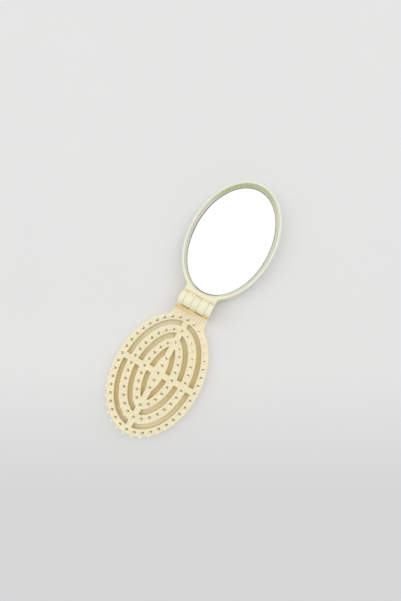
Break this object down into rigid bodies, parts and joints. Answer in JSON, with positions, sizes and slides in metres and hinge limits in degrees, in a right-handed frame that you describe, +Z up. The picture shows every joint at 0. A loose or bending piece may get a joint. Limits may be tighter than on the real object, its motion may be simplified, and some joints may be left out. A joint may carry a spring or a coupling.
{
  "type": "pocket mirror comb",
  "caption": "Folding pocket comb with mirror: an oval slotted plate with rings of ball-tipped pins, hinged to an oval mirror in a raised rim.",
  "frame": {"origin": "on the table under the middle of the whole open length and width", "axes": "+Y from the comb half to the mirror half, +Z up out of the comb's face and the glass, +X across"},
  "size_m": [0.0606, 0.1906, 0.0152],
  "materials": {
    "comb_cream": "warm cream moulded plastic, satin to gloss",
    "pin_cream": "cream nylon, slightly glossy ball tips",
    "mirror_ivory": "pale greenish ivory moulded plastic",
    "silvered_glass": "clear silvered glass",
    "hinge_steel": "drawn wire",
    "pad_foam": "white adhesive foam"
  },
  "bodies": {
    "comb_half": {"comb_front_plate": "comb_cream", "comb_back_plate": "comb_cream", "outer_pin_ring": "pin_cream", "middle_pin_ring": "pin_cream", "inner_pin_ring": "pin_cream", "centre_pin_row": "pin_cream", "hinge_pin": "hinge_steel"},
    "mirror_half": {"mirror_frame": "mirror_ivory", "mirror_glass": "silvered_glass", "glass_pad": "pad_foam", "mirror_back_shell": "mirror_ivory"}
  },
  "joints": [
    {"name": "mirror_fold", "type": "hinge", "parent": "comb_half", "child": "mirror_half", "pos_m": [0, -0.00125, 0.0103], "axis": [1, 0, 0], "range_deg": [0, 180]}
  ]
}
